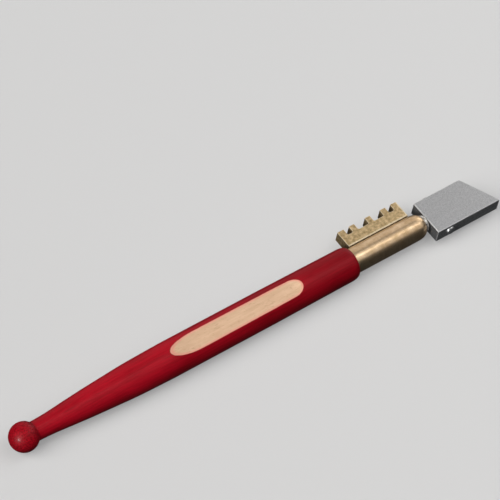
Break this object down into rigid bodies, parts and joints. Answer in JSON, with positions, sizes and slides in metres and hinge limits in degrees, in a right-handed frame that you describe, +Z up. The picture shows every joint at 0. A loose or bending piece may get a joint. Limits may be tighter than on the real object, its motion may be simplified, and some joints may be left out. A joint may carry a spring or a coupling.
{
  "type": "glass cutter",
  "caption": "Pencil-style diamond glass cutter: turned wooden handle, brass barrel with a notched breaking comb, and a slant-ended steel head plate that swivels slightly about the axis.",
  "frame": {"origin": "under the middle of the tool's box, at the height of the lowest line of the handle's belly, where the tool lies on a bench", "axes": "+X along the tool's axis, from the ball end of the handle to the head plate; +Y towards the tips of the comb's teeth; +Z up, square to the head plate's large faces"},
  "size_m": [0.185, 0.0178, 0.0116],
  "materials": {
    "lacquered_wood": "red lacquer, glossy with faint grain, bare pale wood on the planed flat",
    "barrel_brass": "turned and polished, pinkish",
    "comb_brass": "milled, brushed along its length",
    "pin_brass": "filed flush",
    "stem_steel": "turned",
    "collar_steel": "turned, bright",
    "plate_steel": "surface ground with a fine straight grain, edges broken bright",
    "rivet_steel": "domed and polished",
    "holder_bronze": "turned, slightly tarnished",
    "diamond": "natural crystal point, clear"
  },
  "bodies": {
    "grip_body": {"handle": "lacquered_wood", "barrel": "barrel_brass", "comb": "comb_brass", "comb_pin_rear": "pin_brass", "comb_pin_front": "pin_brass", "swivel_stem": "stem_steel", "thrust_collar": "collar_steel"},
    "head_body": {"head_plate": "plate_steel", "swivel_rivet": "rivet_steel", "diamond_holder": "holder_bronze", "diamond": "diamond"}
  },
  "joints": [
    {"name": "head_swivel", "type": "hinge", "parent": "grip_body", "child": "head_body", "pos_m": [0.0727, -0.00147, 0.0058], "axis": [1, 0, 0], "range_deg": [-15, 15]}
  ]
}
